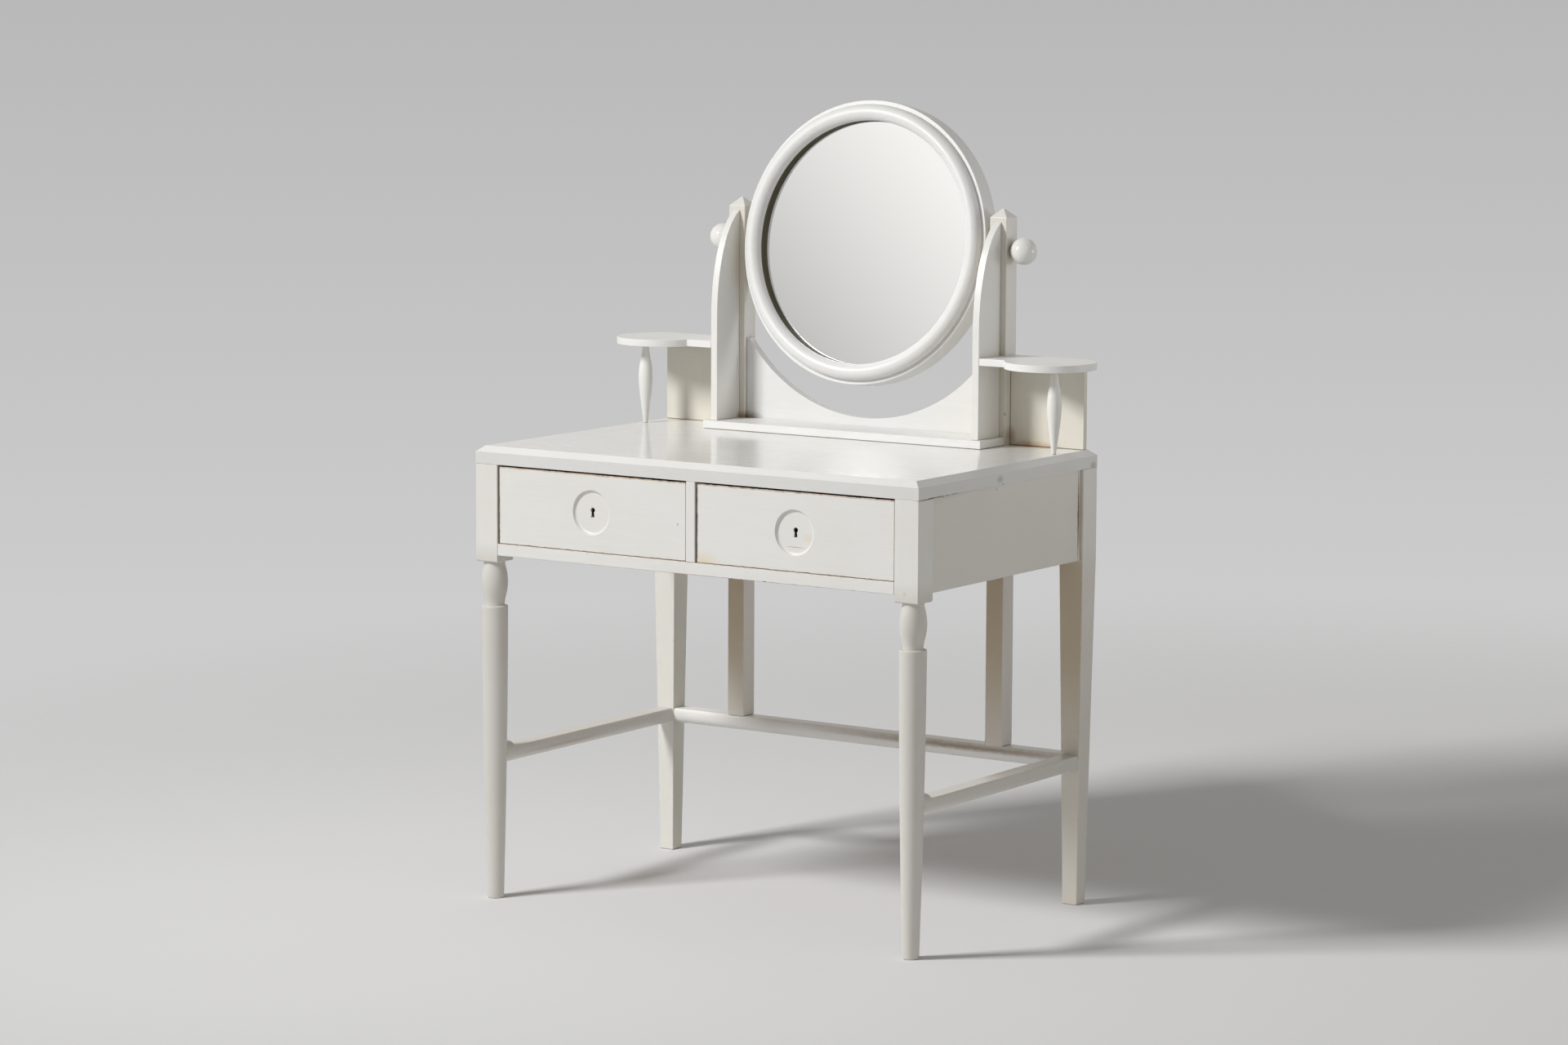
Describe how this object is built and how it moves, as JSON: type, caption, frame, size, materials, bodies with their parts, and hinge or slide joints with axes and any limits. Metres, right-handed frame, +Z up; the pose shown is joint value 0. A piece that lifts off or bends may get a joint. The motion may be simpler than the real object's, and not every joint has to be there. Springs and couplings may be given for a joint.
{
  "type": "dressing table",
  "caption": "Painted wooden dressing table with drawers, turned front legs, round tilting mirror between posts with curved fins, and small side shelves on spindles.",
  "frame": {"origin": "on the floor, under the middle of the whole object's box", "axes": "+Z up, +X to the right of someone who sits at the table, +Y from the front towards the mirror posts at the back"},
  "size_m": [0.9296, 0.5758, 1.3224],
  "materials": {
    "old_paint": "aged off-white brushed paint, satin",
    "top_paint": "aged off-white paint, rubbed to a low gloss",
    "gloss_paint": "off-white gloss paint on turned wood",
    "bare_wood": "unpainted softwood, brown with age",
    "plywood": "unpainted thin plywood",
    "mirror": "silvered glass",
    "brass": "dull brass",
    "steel": "dull steel"
  },
  "bodies": {
    "table": {"table_top": "top_paint", "front_rail": "old_paint", "drawer_divider": "old_paint", "back_panel": "bare_wood", "runner_left": "bare_wood", "runner_right": "bare_wood", "runner_centre": "bare_wood", "rear_stretcher": "old_paint", "plinth": "old_paint", "crescent_panel": "old_paint", "front_leg_left": "old_paint", "front_leg_right": "old_paint", "back_leg_left": "old_paint", "back_leg_right": "old_paint", "side_stretcher_left": "old_paint", "side_stretcher_right": "old_paint", "side_panel_left": "old_paint", "side_panel_right": "old_paint", "mirror_post_left": "old_paint", "mirror_post_right": "old_paint", "post_screw_left": "steel", "post_screw_right": "steel", "pivot_spacer_left": "brass", "pivot_spacer_right": "brass", "drawer_stop_left": "bare_wood", "drawer_stop_right": "bare_wood", "fin_left": "old_paint", "fin_right": "old_paint", "shelf_left": "old_paint", "shelf_right": "old_paint", "spindle_left": "old_paint", "spindle_right": "old_paint", "shelf_back_left": "old_paint", "shelf_back_right": "old_paint"},
    "drawer_left": {"drawer_front_left": "old_paint", "drawer_left_side_left": "bare_wood", "drawer_left_side_right": "bare_wood", "drawer_left_back": "bare_wood", "drawer_left_bottom": "plywood", "lock_case_left": "steel"},
    "drawer_right": {"drawer_front_right": "old_paint", "drawer_right_side_left": "bare_wood", "drawer_right_side_right": "bare_wood", "drawer_right_back": "bare_wood", "drawer_right_bottom": "plywood", "lock_case_right": "steel"},
    "lock_bolt_left": {"lock_bolt_left": "brass"},
    "lock_bolt_right": {"lock_bolt_right": "brass"},
    "mirror": {"mirror_frame": "old_paint", "mirror_glass": "mirror", "mirror_backboard": "plywood", "backboard_brad_1": "steel", "backboard_brad_2": "steel", "backboard_brad_3": "steel", "mirror_insert_left": "brass", "mirror_insert_right": "brass"},
    "knob_left": {"knob_left": "gloss_paint", "knob_bolt_left": "steel"},
    "knob_right": {"knob_right": "gloss_paint", "knob_bolt_right": "steel"}
  },
  "joints": [
    {"name": "drawer_left_slide", "type": "slide", "parent": "table", "child": "drawer_left", "axis": [0, -1, 0], "range_m": [0, 0.33]},
    {"name": "drawer_right_slide", "type": "slide", "parent": "table", "child": "drawer_right", "axis": [0, -1, 0], "range_m": [0, 0.33]},
    {"name": "lock_left_throw", "type": "slide", "parent": "drawer_left", "child": "lock_bolt_left", "axis": [0, 0, 1], "range_m": [0, 0.01]},
    {"name": "lock_right_throw", "type": "slide", "parent": "drawer_right", "child": "lock_bolt_right", "axis": [0, 0, 1], "range_m": [0, 0.01]},
    {"name": "mirror_tilt", "type": "hinge", "parent": "table", "child": "mirror", "pos_m": [0, 0.24205, 1.082], "axis": [1, 0, 0], "continuous": true},
    {"name": "knob_left_turn", "type": "hinge", "parent": "mirror", "child": "knob_left", "pos_m": [-0.3005, 0.24205, 1.082], "axis": [-1, 0, 0], "range_deg": [0, 180]},
    {"name": "knob_right_turn", "type": "hinge", "parent": "mirror", "child": "knob_right", "pos_m": [0.3005, 0.24205, 1.082], "axis": [1, 0, 0], "range_deg": [0, 180]}
  ]
}
